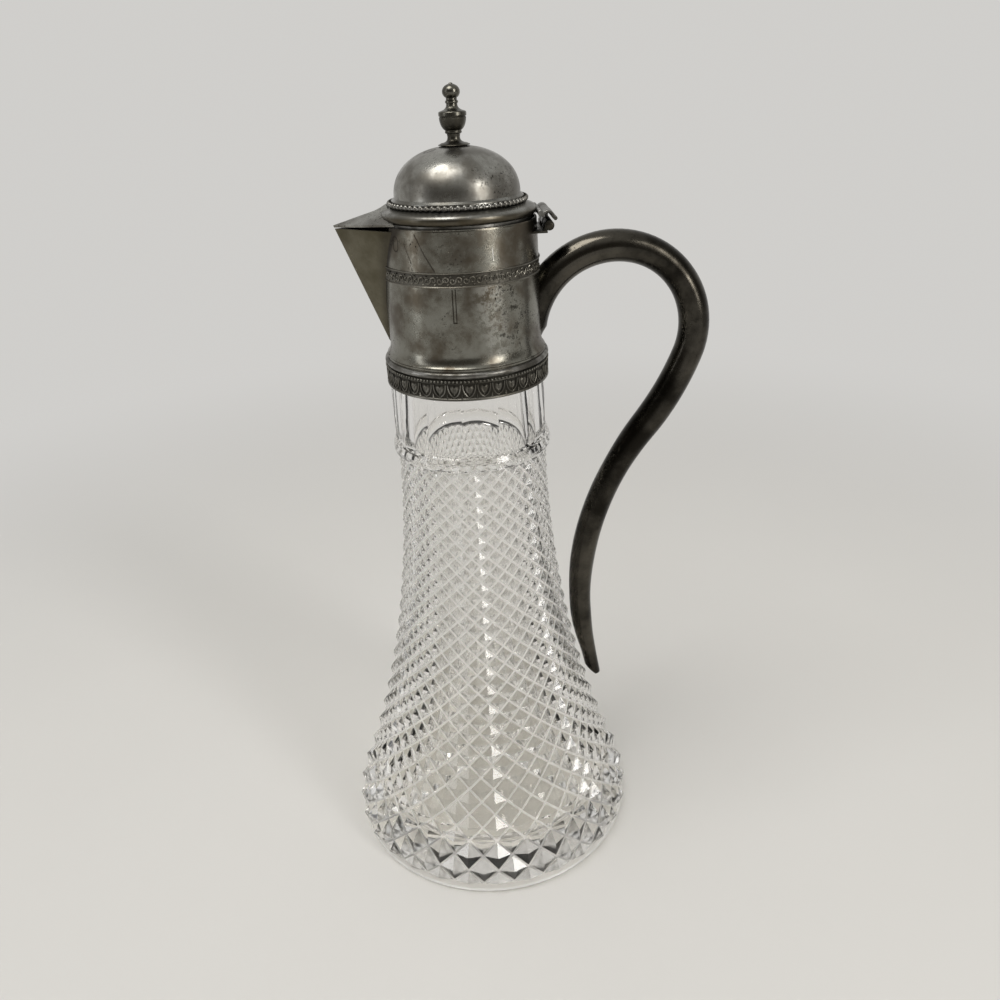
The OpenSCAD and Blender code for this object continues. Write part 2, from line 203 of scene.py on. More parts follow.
def pull(rise, factor):
    """Pulls the selected ring up or down, and scales it."""
    bpy.ops.mesh.extrude_region_move(TRANSFORM_OT_translate={"value": (0, 0, rise * MM)})
    bpy.ops.transform.resize(value=(factor, factor, 1))


def turned(name, profile, sides=128, closed=False, floor=False):
    """Draws a ring at the first point of a profile of (radius, height), and pulls it along the rest."""
    first = profile[0]
    obj = ring(name, sides, *first)
    path = list(profile) + ([first] if closed else [])
    for (r0, z0), (r1, z1) in zip(path, path[1:]):
        pull(z1 - z0, max(r1, 1e-4) / r0)
    if path[-1][0] == 0:
        bpy.ops.mesh.merge(type="CENTER")
    if floor:
        bpy.ops.object.mode_set(mode="OBJECT")
        pick(obj, "EDGE", lambda e: e.is_boundary)
        bpy.ops.mesh.edge_face_add()
    free()
    return obj


def spun(obj, count):
    """Repeats a shape round the jug's axis."""
    whole(obj)
    bpy.ops.mesh.spin(steps=count - 1, dupli=True, angle=TURN * (count - 1) / count, center=(0, 0, 0),
                      axis=(0, 0, 1))
    free()
    return obj


def beading(segments, rings, size, radius, height, count):
    """A ring of beads round the jug's axis."""
    free()
    bpy.ops.mesh.primitive_uv_sphere_add(segments=segments, ring_count=rings, radius=size * MM,
                                         location=(0, -radius * MM, height * MM))
    return spun(titled("beads"), count)


def turned_about(obj, angle):
    """Turns a shape about the jug's axis."""
    whole(obj)
    bpy.ops.transform.rotate(value=-angle, orient_axis="Z", center_override=(0, 0, 0))
    free()
    return obj


def wire(name, points, radius, thickness, sides):
    """A round wire through points, with its own thickness at each unless that is None."""
    free()
    curve = bpy.data.curves.new(name, "CURVE")
    curve.dimensions = "3D"
    curve.bevel_depth = radius * MM
    curve.bevel_resolution = sides
    curve.use_fill_caps = True
    line = curve.splines.new("POLY")
    line.points.add(len(points) - 1)
    for i, (point, place) in enumerate(zip(line.points, points)):
        point.co = (*[c * MM for c in place], 1)
        point.radius = thickness[i] if thickness else 1
    hold(placed(name, curve))
    bpy.ops.object.convert(target="MESH")
    return titled(name)


def block(name, lo, hi, bevel=0.0):
    """A box between two corners, with eased edges."""
    free()
    centre = [(a + b) / 2 * MM for a, b in zip(lo, hi)]
    bpy.ops.mesh.primitive_cube_add(size=1, location=centre, scale=[(b - a) * MM for a, b in zip(lo, hi)])
    obj = titled(name)
    if bevel:
        whole(obj)
        eased(bevel)
        free()
    return obj


def panel(name, corners, faces):
    """A sheet drawn from its corners."""
    free()
    mesh = bpy.data.meshes.new(name)
    mesh.from_pydata([Vector(c) * MM for c in corners], [], faces)
    return placed(name, mesh)


def rod(name, y0, y1, radius, sides=32, bevel=0.12):
    """A round bar along the hinge pin, with eased ends."""
    free()
    bpy.ops.mesh.primitive_cylinder_add(vertices=sides, radius=radius * MM, depth=(y1 - y0) * MM,
                                        location=(HINGE_X * MM, (y0 + y1) / 2 * MM, HINGE_Z * MM),
                                        rotation=(math.pi / 2, 0, 0))
    obj = titled(name)
    pick(obj, "EDGE", lambda e: len(e.link_faces) == 2 and max(len(f.verts) for f in e.link_faces) > 4)
    if bevel:
        eased(bevel)
    free()
    return obj


def bezier(p, n, skip=0):
    """Points on a curve of (radius, height), from its four corners."""
    out = []
    for i in range(skip, n + 1):
        t = i / n
        w = ((1 - t) ** 3, 3 * t * (1 - t) ** 2, 3 * t * t * (1 - t), t ** 3)
        out.append(tuple(sum(a * q[k] for a, q in zip(w, p)) for k in (0, 1)))
    return out


def arc(centre, radius, start, end, n, squash=1.0):
    """Points on an arc of (radius, height), in degrees."""
    out = []
    for i in range(n + 1):
        a = math.radians(start + (end - start) * i / n)
        out.append((centre[0] + radius * math.cos(a), centre[1] + squash * radius * math.sin(a)))
    return out


def collar_r(z):
    """Outer radius of the collar's wall at a height."""
    return SLEEVE_R + (MOUTH_R - SLEEVE_R) * (z - COVE_TOP) / (MOUTH_Z - COVE_TOP)


# ---- finishes ----

def node_group(name, inputs, outputs):
    group = bpy.data.node_groups.new(name, "ShaderNodeTree")
    for title, kind, value in inputs:
        item = group.interface.new_socket(name=title, in_out="INPUT", socket_type="NodeSocket" + kind)
        if value is not None:
            item.default_value = value
    for title, kind in outputs:
        group.interface.new_socket(name=title, in_out="OUTPUT", socket_type="NodeSocket" + kind)
    return group, group.nodes.new("NodeGroupInput"), group.nodes.new("NodeGroupOutput")


def add(tree, kind, values=None, links=None, **settings):
    """Adds a node, sets its fields and sockets, and links what feeds it."""
    node = tree.nodes.new("ShaderNode" + kind)
    for key, value in settings.items():
        setattr(node, key, value)
    for key, value in (values or {}).items():
        node.inputs[key].default_value = value
    for key, socket in (links or {}).items():
        tree.links.new(socket, node.inputs[key])
    return node


def feed(tree, socket, value):
    """Sets a socket to a value, or links an output to it."""
    if isinstance(value, (int, float, tuple)):
        socket.default_value = value
    else:
        tree.links.new(value, socket)


def math_node(tree, operation, a, b=None, clamp=False):
    node = tree.nodes.new("ShaderNodeMath")
    node.operation, node.use_clamp = operation, clamp
    feed(tree, node.inputs[0], a)
    if b is not None:
        feed(tree, node.inputs[1], b)
    return node.outputs[0]


def times(tree, a, b):
    return math_node(tree, "MULTIPLY", a, b)


def plus(tree, a, b, clamp=False):
    return math_node(tree, "ADD", a, b, clamp)


def minus(tree, a, b):
    return math_node(tree, "SUBTRACT", a, b)


def spread(tree, value, lo, hi, to_lo=0.0, to_hi=1.0, smooth=True):
    node = tree.nodes.new("ShaderNodeMapRange")
    node.interpolation_type = "SMOOTHSTEP" if smooth else "LINEAR"
    tree.links.new(value, node.inputs["Value"])
    for key, number in (("From Min", lo), ("From Max", hi), ("To Min", to_lo), ("To Max", to_hi)):
        feed(tree, node.inputs[key], number)
    return node.outputs["Result"]


def blend_colour(tree, factor, a, b):
    node = tree.nodes.new("ShaderNodeMix")
    node.data_type = "RGBA"
    for key, value in ((0, factor), (6, a), (7, b)):
        feed(tree, node.inputs[key], value)
    return node.outputs[2]


def noise(tree, place, **values):
    """The value of a noise texture at a place."""
    return add(tree, "TexNoise", values, {"Vector": place}).outputs["Fac"]


def height_of(tree, place):
    """A point's height, in millimetres."""
    return times(tree, add(tree, "SeparateXYZ", links={0: place}).outputs[2], 1 / MM)


def from_axis(tree, place):
    """A point's distance from the jug's axis, in millimetres."""
    x, y, z = add(tree, "SeparateXYZ", links={0: place}).outputs
    square = plus(tree, times(tree, x, x), times(tree, y, y))
    return times(tree, math_node(tree, "SQRT", square), 1 / MM)


def tarnish_group():
    """Cloudy tarnish, fine mottling, dark pits and hair scratches on old plate."""
    g, given, made = node_group(
        "tarnish",
        [("Place", "Vector", None), ("Bright", "Color", (0.45, 0.43, 0.4, 1)),
         ("Dull", "Color", (0.2, 0.19, 0.17, 1)), ("Cloud scale", "Float", 60.0),
         ("Pitting", "Float", 0.5), ("Smooth", "Float", 0.26), ("Rough", "Float", 0.42)],
        [("Colour", "Color"), ("Roughness", "Float"), ("Height", "Float")])
    i = given.outputs
    place = i["Place"]
    cloud = add(g, "TexNoise", {"Detail": 5.0, "Roughness": 0.6},
                {"Vector": place, "Scale": i["Cloud scale"]})
    mottle = noise(g, place, Scale=520.0, Detail=4.0, Roughness=0.65)
    grain = noise(g, place, Scale=2600.0, Detail=2.0)
    moved = add(g, "VectorMath", {1: (0.31, 0.17, 0.53)}, {0: place}, operation="ADD").outputs[0]
    patch = noise(g, moved, Scale=75.0, Detail=3.0, Distortion=0.6)
    pit = noise(g, place, Scale=1300.0, Detail=2.5, Roughness=0.6)
    wave = noise(g, place, Scale=110.0, Detail=1.0)
    cloudy = spread(g, cloud.outputs["Fac"], 0.36, 0.64)
    dots = spread(g, mottle, 0.5, 0.72)
    where = spread(g, patch, 0.5, 0.68)
    pits = times(g, spread(g, pit, 0.56, 0.66), times(g, where, i["Pitting"]))
    base = blend_colour(g, cloudy, i["Bright"], i["Dull"])
    base = blend_colour(g, times(g, dots, 0.35), base, i["Dull"])
    base = blend_colour(g, pits, base, (0.02, 0.018, 0.015, 1))
    g.links.new(base, made.inputs["Colour"])
    rough = spread(g, cloudy, 0, 1, i["Smooth"], i["Rough"], False)
    rough = plus(g, rough, times(g, grain, 0.08))
    rough = plus(g, rough, times(g, pits, 0.3), clamp=True)
    g.links.new(rough, made.inputs["Roughness"])
    high = times(g, wave, 0.6)
    high = plus(g, high, times(g, mottle, 0.05))
    drawn_out = add(g, "VectorMath", {1: (60, 60, 2600)}, {0: place}, operation="MULTIPLY").outputs[0]
    lines = noise(g, drawn_out, Scale=1.0, Detail=2.0)
    high = plus(g, high, times(g, lines, 0.012))
    high = minus(g, high, times(g, pits, 0.08))
    g.links.new(high, made.inputs["Height"])
    return g


def recess_group():
    """How deep a point lies in an ornament, by its distance from the axis: 0 on top, 1 at the ground."""
    g, given, made = node_group("recess", [("Place", "Vector", None), ("Ground", "Float", 28.9),
                                           ("Top", "Float", 29.4)], [("Depth", "Float")])
    across = from_axis(g, given.outputs["Place"])
    depth = spread(g, across, given.outputs["Ground"], given.outputs["Top"], 1.0, 0.0)
    g.links.new(depth, made.inputs["Depth"])
    return g


def stroke_group():
    """Distance in millimetres from a straight stroke between two points."""
    g, given, made = node_group("stroke", [(title, "Vector", None) for title in ("Place", "From", "To")],
                                [("Distance", "Float")])
    i = given.outputs

    def vector(operation, a, b=None, out=0):
        node = add(g, "VectorMath", links={0: a} if b is None else {0: a, 1: b}, operation=operation)
        return node.outputs[out]

    span, reach = vector("SUBTRACT", i["To"], i["From"]), vector("SUBTRACT", i["Place"], i["From"])
    share = math_node(g, "DIVIDE", vector("DOT_PRODUCT", reach, span, 1),
                      vector("DOT_PRODUCT", span, span, 1), clamp=True)
    along = add(g, "VectorMath", links={0: span, "Scale": share}, operation="SCALE").outputs[0]
    gone = vector("LENGTH", vector("SUBTRACT", reach, along), out=1)
    g.links.new(times(g, gone, 1 / MM), made.inputs["Distance"])
    return g


TARNISH = tarnish_group()
RECESS = recess_group()
STROKE = stroke_group()


def grouped(tree, group, place, values):
    """A node of one of these groups, with its place and values."""
    node = tree.nodes.new("ShaderNodeGroup")
    node.node_tree = group
    tree.links.new(place, node.inputs["Place"])
    for key, value in values.items():
        node.inputs[key].default_value = value
    return node.outputs


def on_collar(angle, z):
    """A point of the collar's face, by its angle from the front and its height."""
    a, r = math.radians(angle), collar_r(z) * MM
    return (r * math.sin(a), -r * math.cos(a), z * MM)


def stroke(tree, place, start, end, width, off=0.0):
    """1 on a stroke, or on the outline at a distance off round it, and 0 beside it."""
    distance = grouped(tree, STROKE, place, {"From": start, "To": end})["Distance"]
    away = math_node(tree, "ABSOLUTE", minus(tree, distance, off))
    return spread(tree, away, width * 0.4, width, 1.0, 0.0)


def scored(tree, place, *lines):
    """1 on strokes across the collar, each given by the angle and height of both ends and its width."""
    mask = None
    for a0, z0, a1, z1, width in lines:
        one = stroke(tree, place, on_collar(a0, z0), on_collar(a1, z1), width)
        mask = math_node(tree, "MAXIMUM", mask, one) if mask else one
    return mask


def darkened(tree, mask, colour, roughness, height, share=0.8, tone=(0.025, 0.02, 0.015, 1), sink=0.12):
    """Tints a mark, dark unless a tone is given, roughens it and sinks it into the surface."""
    some = times(tree, mask, share)
    return (blend_colour(tree, some, colour, tone),
            plus(tree, roughness, times(tree, some, 0.15), clamp=True),
            minus(tree, height, times(tree, mask, sink)))


def collar_marks(tree, place, colour, roughness, height):
    """The old jug's marks: a solder line, a slot, key scratches, a dented ring, a painted glint (a short
    light stroke that stands for a highlight), a worn patch and a pitted corner."""
    parts = add(tree, "SeparateXYZ", links={0: place}).outputs
    x, y, z = (times(tree, part, 1 / MM) for part in parts)
    y = math_node(tree, "ABSOLUTE", y)
    run = Vector(SPOUT_TIP) - Vector(SPOUT_FOOT)
    face = run.cross(Vector(SPOUT_CORNER) - Vector(SPOUT_FOOT)).normalized()
    off = times(tree, minus(tree, x, SPOUT_FOOT[0]), -abs(face.x))
    off = plus(tree, off, times(tree, y, abs(face.y)))
    off = minus(tree, off, times(tree, minus(tree, z, SPOUT_FOOT[2]), abs(face.z)))
    seam = times(tree, spread(tree, math_node(tree, "ABSOLUTE", off), 0.5, 1.3, 1.0, 0.0),
                 spread(tree, z, SPOUT_FOOT[2] - 3, SPOUT_FOOT[2] - 1))
    seam = times(tree, seam, math_node(tree, "LESS_THAN", x, -15))
    skin = darkened(tree, seam, colour, roughness, height, 0.85, sink=0.0)
    slot = scored(tree, place, (-7.6, 239, -7.7, 228.6, 0.28), (-5.4, 239, -5.6, 228.5, 0.24),
                  (-7.7, 228.6, -5.6, 228.5, 0.3))
    skin = darkened(tree, slot, *skin, 0.9)
    scratch = scored(tree, place, (-33, 256, -26, 250, 0.2), (-26, 250, -19, 244.9, 0.26),
                     (-43, 253, -37, 247, 0.18))
    skin = darkened(tree, scratch, *skin, 0.7)
    dent = stroke(tree, place, on_collar(-52, 251.4), on_collar(-52, 253.6), 0.35, 1.2)
    skin = darkened(tree, dent, *skin, 0.75)
    # painted highlight: a short light stroke that stands for a glint on the collar, also sunk a little in the
    # bump
    painted_glint = scored(tree, place, (22.6, 247.4, 22.2, 251, 0.24))
    skin = darkened(tree, painted_glint, *skin, 0.7, (0.6, 0.59, 0.55, 1), 0.1)
    grain = noise(tree, place, Scale=330.0, Detail=5.0, Roughness=0.7)
    patch = times(tree, scored(tree, place, (17, 237, 24, 221, 7.0)), spread(tree, grain, 0.42, 0.55))
    skin = darkened(tree, patch, *skin, 0.5, (0.36, 0.36, 0.33, 1), 0.02)
    corner = scored(tree, place, (27, 235, 35, 221, 9.0))
    blots = times(tree, spread(tree, grain, 0.53, 0.62), corner)
    return darkened(tree, blots, *skin, 0.85, (0.03, 0.028, 0.022, 1), 0.06)


def dome_marks(tree, place, colour, roughness, height):
    """A small dented ring near the knop."""
    dent = stroke(tree, place, (-0.0086, -0.0042, 0.2787), (-0.0074, -0.0042, 0.279), 0.5, 1.3)
    return darkened(tree, dent, colour, roughness, height, 0.6)


def rim_painted_shade(tree, place, colour, roughness, height):
    """Browned round the lid's lower edge: painted shade on the rim's downward-facing underside."""
    low = times(tree, spread(tree, height_of(tree, place), LID_Z + 1.9, LID_Z + 2.9, 1.0, 0.0), 0.8)
    return (blend_colour(tree, low, colour, (0.062, 0.05, 0.03, 1)),
            plus(tree, roughness, times(tree, low, 0.06)), height)


def spout_painted_shade(tree, place, colour, roughness, height):
    """Darker towards the solder line on the collar: painted shade where the spout runs into the collar."""
    near = spread(tree, from_axis(tree, place), SLEEVE_R - 0.6, SLEEVE_R + 2.2, 1.0, 0.0)
    return darkened(tree, near, colour, roughness, height, 0.55, sink=0.0)


def finish(name, metallic=1.0, **fixed):
    """A new material with its Principled shader and the object's own coordinates."""
    material = bpy.data.materials.new(name)
    material.use_nodes = True
    tree = material.node_tree
    shader = tree.nodes["Principled BSDF"]
    shader.inputs["Metallic"].default_value = metallic
    for key, value in fixed.items():
        shader.inputs[key.replace("_", " ")].default_value = value
    place = add(tree, "TexCoord").outputs["Object"]
    return material, tree, shader, place


def bumped(tree, shader, height, strength, distance):
    bump = add(tree, "Bump", {"Strength": strength, "Distance": distance}, {"Height": height})
    tree.links.new(bump.outputs[0], shader.inputs["Normal"])


def surface(tree, share, first, second):
    """Mixes two shaders, and puts them out as the surface."""
    mix = add(tree, "MixShader", links={0: share, 1: first.outputs[0], 2: second.outputs[0]})
    tree.links.new(mix.outputs[0], tree.nodes["Material Output"].inputs["Surface"])


def plate(name, bright, dull, cloud=60.0, pitting=0.5, smooth=0.26, rough=0.42, wave=0.5, recess=None,
          ground=(0.018, 0.016, 0.013), marks=None):
    """Old silver plate; recess = (ground, top) blackens an ornament's ground."""
    material, tree, shader, place = finish(name)
    skin = grouped(tree, TARNISH, place, {"Bright": (*bright, 1), "Dull": (*dull, 1), "Cloud scale": cloud,
                                          "Pitting": pitting, "Smooth": smooth, "Rough": rough})
    colour, roughness, height = (skin[key] for key in ("Colour", "Roughness", "Height"))
    if recess:
        depth = grouped(tree, RECESS, place, {"Ground": recess[0], "Top": recess[1]})["Depth"]
        colour = blend_colour(tree, depth, colour, (*ground, 1))
        roughness = plus(tree, roughness, times(tree, depth, 0.3), clamp=True)
    if marks:
        colour, roughness, height = marks(tree, place, colour, roughness, height)
    tree.links.new(colour, shader.inputs["Base Color"])
    tree.links.new(roughness, shader.inputs["Roughness"])
    bumped(tree, shader, height, wave, 0.0006)
    return material


def glass_finish(name="pressed_glass", rough=0.09, tint=(0.97, 0.962, 0.945, 1), clear_share=1.0):
    """Clear pressed glass, a little warm, with the mould's soft skin on the patterned part."""
    material, tree, shader, place = finish(name, metallic=0.0, IOR=1.5, Transmission_Weight=clear_share)
    haze = noise(tree, place, Scale=60.0, Detail=3.0)
    level = height_of(tree, place)
    skin = spread(tree, level, 40, 120, rough * 0.5, rough)
    skin = times(tree, skin, spread(tree, level, 173.5, 176.5, 1.0, 0.0))
    roughness = plus(tree, skin, times(tree, haze, 0.03))
    tree.links.new(roughness, shader.inputs["Roughness"])
    tree.links.new(blend_colour(tree, haze, (0.985, 0.98, 0.97, 1), tint), shader.inputs["Base Color"])
    bumped(tree, shader, noise(tree, place, Scale=150.0, Detail=1.0), 0.08, 0.0004)
    clear = add(tree, "BsdfTransparent", {"Color": (0.63, 0.625, 0.6, 1)})
    surface(tree, add(tree, "LightPath").outputs["Is Shadow Ray"], shader, clear)
    return material


def plaster_finish():
    material, tree, shader, place = finish("plaster", metallic=0.0)
    grit = noise(tree, place, Scale=900.0, Detail=4.0)
    tree.links.new(blend_colour(tree, grit, (0.62, 0.6, 0.54, 1), (0.36, 0.34, 0.3, 1)),
                   shader.inputs["Base Color"])
    tree.links.new(spread(tree, grit, 0.3, 0.7, 0.75, 0.95), shader.inputs["Roughness"])
    return material


# ---- glass ----

def body_profile():
    """(radius, height) of the diamonds' tips, from the top of the body to its foot."""
    line = bezier(BELLY[::-1], 120)
    return line + bezier([BELLY[0], (BELLY[0][0] + 0.6, 8), (FOOT_R + 0.9, 2), (FOOT_R, 0)], 20, 1)


def diamond_rows():
    """(radius, height) where the grooves cross, half a diamond's width apart, down the body."""
    line = body_profile()
    row, gone = [], 0.0
    for (r0, z0), (r1, z1) in zip(line, line[1:]):
        if z1 > PATTERN_TOP:
            continue
        steps = 20
        for k in range(steps):
            r, z = r0 + (r1 - r0) * k / steps, z0 + (z1 - z0) * k / steps
            if z > PATTERN_TOP:
                continue
            step = math.pi * r / DIAMONDS
            if not row or gone >= step:
                row.append((r * (1 - RELIEF), z))
                gone = 0.0
            gone += math.hypot(r1 - r0, z1 - z0) / steps
    return [p for p in row if p[1] > PATTERN_LOW]


def diamond_sleeve(rows):
    """The ground of the pattern: rings turned by half a diamond each, joined into diamonds."""
    half = math.pi / DIAMONDS
    obj = ring("diamonds", DIAMONDS, *rows[0])
    for (r0, z0), (r1, z1) in zip(rows, rows[1:]):
        pull(z1 - z0, r1 / r0)
        bpy.ops.transform.rotate(value=half, orient_axis="Z", center_override=(0, 0, 0))
    bpy.ops.mesh.select_all(action="SELECT")
    bpy.ops.mesh.quads_convert_to_tris(quad_method="SHORTEST_DIAGONAL")
    pick(obj, "EDGE", lambda e: not e.is_boundary and abs(e.verts[0].co.z - e.verts[1].co.z) < 1e-7)
    bpy.ops.mesh.dissolve_edges(use_verts=False)
    free()
    return obj


def body_r(level, line=body_profile()):
    """Radius of the diamonds' tips at a height."""
    for (r0, z0), (r1, z1) in zip(line, line[1:]):
        if z1 <= level <= z0:
            return r0 + (r1 - r0) * (level - z0) / (z1 - z0 or 1)
    return 0


def in_zone(item, low, high):
    """Whether a face or an edge lies in the patterned part of the outside."""
    middle = sum((v.co for v in item.verts), Vector()) / len(item.verts)
    level = middle.z / MM
    return low < level < high and middle.xy.length / MM > 0.95 * body_r(level)


def worn(face, level):
    """Whether a face belongs to the foot's rim, which years on tables have ground dull."""
    middle = face.calc_center_median()
    return 0.05 < middle.z / MM < level and middle.xy.length / MM > 58


def glass_body():
    rows = diamond_rows()
    top, low = rows[0], rows[-1]
    sleeve = diamond_sleeve(rows)
    tenon = [(NECK_R, NECK_TOP), (TENON_R + 0.3, NECK_TOP), (TENON_R, 202.8), (TENON_R, TENON_TOP - 0.8),
             (TENON_R - 0.8, TENON_TOP), (TENON_R - 3.2, TENON_TOP), (TENON_R - 4, TENON_TOP - 0.8)]
    inside = bezier([(23.5, 175.5), (24.3, 101.8), (42, 48), (51.5, 27)], 40)
    floor = [(52, 24), (51.4, 20.5), (49.4, 17), (46, 14.2), (41.5, 12.2), (34, 10.8), (24, 10), (0, 9.6)]
    upper = [(top[0] + 0.15, top[1] + 0.3), (top[0] + 0.7, top[1] + 0.7), (LEDGE_R - 0.45, 176.1),
             (LEDGE_R - 0.1, 176.7), (LEDGE_R, 177.3), (LEDGE_R, 178)]
    upper += bezier([(LEDGE_R, 178.2), (LEDGE_R - 0.1, 179.6), (NECK_R, 180.6), (NECK_R, NECK_Z)], 7)
    upper += [(NECK_R, 186), (NECK_R, 196)] + tenon + [(21.2, 203)] + inside + floor
    shell = turned("shell", upper, sides=140)
    foot = turned("foot", [(low[0], low[1] - 0.2), (FOOT_R - 0.5, 1.9), (FOOT_R, 1.1), (FOOT_R - 0.3, 0.3),
                           (FOOT_R - 0.9, 0), (52, 0), (0, 0)], sides=120)
    obj = joined("glass_body_cut", sleeve, shell, foot)
    for level in (top[1], low[1]):
        pick(obj, "EDGE", lambda e: e.is_boundary and abs(e.verts[0].co.z / MM - level) < 0.6)
        bpy.ops.mesh.bridge_edge_loops()
    tidy(obj, 14)
    flat = NECK_R * math.cos(math.pi / PANELS)
    knife = block("knife", (flat, -7.5, NECK_Z - 2.2), (NECK_R + 6, 7.5, NECK_TOP + 0.8))
    pick(knife, "EDGE", lambda e: all(v.co.z / MM < NECK_Z and v.co.x / MM < NECK_R for v in e.verts))
    eased(1.7, 5)
    free()
    turned_about(knife, PANEL_TURN + math.pi / PANELS)
    for i in range(PANELS):
        hold(knife)
        bpy.ops.object.duplicate()
        one = bpy.context.object
        turned_about(one, i * TURN / PANELS)
        carve(obj, one)
    bpy.data.objects.remove(knife)
    obj.data.materials.append(GLASS)
    obj.data.materials.append(GROOVE)
    zone = (low[1] + 0.05, top[1] - 0.05)
    pick(obj, "EDGE", lambda e: in_zone(e, *zone))
    eased(GROOVE_W / 2, 1, material=1)
    pick(obj, "FACE", lambda f: in_zone(f, *zone) and f.material_index == 0)
    bpy.ops.mesh.poke(offset=POKE, use_relative_offset=True, center_mode="MEDIAN")
    pick(obj, "FACE", lambda f: worn(f, low[1]))
    obj.active_material_index = 1
    bpy.ops.object.material_slot_assign()
    return tidy(obj, 9)


# ---- collar ----

def collar_profile():
    cove = bezier([(28.3, STEP_Z + 2.4), (27.6, STEP_Z + 3.0), (27.0, STEP_Z + 4.2),
                   (COVE_R, COVE_TOP + 1)], 8)
    foot = [(28.4, COLLAR_Z + 0.7), (28.4, STEP_Z + 0.95), (28.4, STEP_Z + 1.2), (28.22, STEP_Z + 1.3),
            (28.4, STEP_Z + 1.4), (28.38, STEP_Z + 1.95), (28.18, STEP_Z + 2.05), (28.32, STEP_Z + 2.2)]
    cove += [(COVE_R + 0.03, COVE_TOP + 3)]
    wall = [(collar_r(z), z) for z in (230, 238, 246, 252, 256.6)]
    lip = [(MOUTH_R + 0.02, MOUTH_Z - 0.35), (MOUTH_R - 0.15, MOUTH_Z - 0.05), (MOUTH_R - 0.4, MOUTH_Z)]
    return foot + cove + wall + lip


def wedge(name, factor=1.0, inset=0.0):
    """The solid between the spout's two faces."""
    foot = Vector(SPOUT_FOOT)
    tip = (Vector(SPOUT_TIP) - foot) * factor
    side = (Vector(SPOUT_CORNER) - foot) * factor
    other = Vector((side.x, -side.y, side.z))
    back = Vector((9, 0, 0))
    shift = foot + Vector((inset, 0, 0))
    points = [Vector(), tip, side, other, back, side + back, other + back]
    return tidy(panel(name, [p + shift for p in points],
                      [(0, 1, 2), (0, 3, 1), (1, 3, 2), (0, 2, 5, 4), (0, 4, 6, 3), (2, 3, 6, 5), (4, 5, 6)]))


def collar_wall():
    outer = collar_profile() + [(MOUTH_R - SHEET + 0.1, MOUTH_Z - 0.1)]
    inner = [(collar_r(z) - SHEET, z) for z in (256.6, 240, 225, COVE_TOP)]
    inner += [(27.1, STEP_Z + 3.2), (27.6, STEP_Z + 2.2), (27.6, COLLAR_Z + 0.7)]
    obj = turned("collar_sleeve", outer + inner, sides=192, closed=True)
    tidy(obj)
    carve(obj, wedge("opening", 1.25, SPOUT_INSET))
    return tidy(obj, 32)


def leaf_motif():
    """One leaf of the band, drawn flat in front of the jug: a pointed frame and a veined heart in it."""
    ground = -(BAND_BACK_R + 0.52)
    low = 203.4
    half = [(2.2, 4.75), (2.05, 3.3), (1.72, 2.1), (1.05, 1.05)]
    frame_line = [(-u, v) for u, v in half] + [(0, 0.3)] + half[::-1]
    rim = wire("rim", [(u, ground - 0.1, low + v) for u, v in frame_line], 0.24, None, sides=1)
    heart = [(0, 3.95), (0.65, 4.45), (1.3, 4.3), (1.65, 3.6), (1.45, 2.6), (0.9, 1.7), (0, 0.95),
             (-0.9, 1.7), (-1.45, 2.6), (-1.65, 3.6), (-1.3, 4.3), (-0.65, 4.45)]
    spine = [(0, 1.15), (0, 2.0), (0, 3.0), (0, 3.9)]
    corners = [(u, ground + 0.1, low + v) for u, v in heart]
    crest = [(u * 0.55, ground - 0.34, low + 2.9 + (v - 2.9) * 0.6) for u, v in heart]
    n = len(heart)
    leaf = panel("leaf", corners + crest + [(0, ground - 0.12, low + 3.0)],
                 [(i, (i + 1) % n, n + (i + 1) % n, n + i) for i in range(n)]
                 + [(n + i, n + (i + 1) % n, 2 * n) for i in range(n)] + [tuple(range(n))[::-1]])
    darts = wire("dart", [(2.57, ground - 0.05, low + 0.15), (2.57, ground - 0.05, low + 1.7)], 0.32,
                 [1.1, 0.15], sides=1)
    midrib = wire("midrib", [(u, ground - 0.3, low + v) for u, v in spine], 0.13, None, sides=0)
    return joined("leaves", rim, leaf, darts, midrib)


def leaf_band():
    back = BAND_BACK_R
    line = [(back, COLLAR_Z), (BAND_R - 0.25, COLLAR_Z), (BAND_R, COLLAR_Z + 0.2), (BAND_R, COLLAR_Z + 0.6),
            (BAND_R - 0.2, COLLAR_Z + 0.85), (back + 0.52, COLLAR_Z + 1), (back + 0.5, 208.3),
            (BAND_R - 0.35, 208.45), (BAND_R - 0.35, 208.6), (back + 0.55, 208.7),
            (back + 0.55, BAND_TOP - 0.15), (back + 0.4, BAND_TOP), (back, BAND_TOP)]
    strip = turned("strip", line, sides=180, closed=True)
    leaves = spun(leaf_motif(), LEAF_COUNT)
    beads = beading(8, 6, 0.46, BAND_BACK_R + 0.62, 209.15, BAND_BEADS)
    return tidy(joined("leaf_band_chased", strip, leaves, beads), 40)


def step_ring():
    line = [(28.43, STEP_Z - 1.05)] + arc((28.35, STEP_Z), 1.1, -68, 68, 12) + [(28.43, STEP_Z + 1.05)]
    return tidy(turned("step_wire", line, sides=160, closed=True))


def scroll_motif():
    """Two opposite curls of the running scroll and the buds between them, in front of the jug."""
    ground = -(collar_r(SCROLL_Z) + 0.12)
    pieces = []
    for side, centre in ((1, -1.05), (-1, 1.05)):
        curl = []
        for k in range(15):
            t = k / 14
            a = math.radians(205 - 430 * t)
            r = 1.15 - 0.85 * t
            curl.append((centre + side * r * math.cos(a) * 0.95, ground - 0.08,
                         SCROLL_Z + side * (r * math.sin(a) + 0.1)))
        pieces.append(wire("curl", curl, 0.2, [0.9 + 0.5 * (1 - k / 14) for k in range(15)], sides=1))
        bud = [(centre + side * 0.95, ground - 0.05, SCROLL_Z - side * 1.0),
               (centre + side * 0.35, ground - 0.1, SCROLL_Z - side * 1.35)]
        pieces.append(wire("bud", bud, 0.3, [0.4, 1.1], sides=1))
    return joined("scrolls", *pieces)


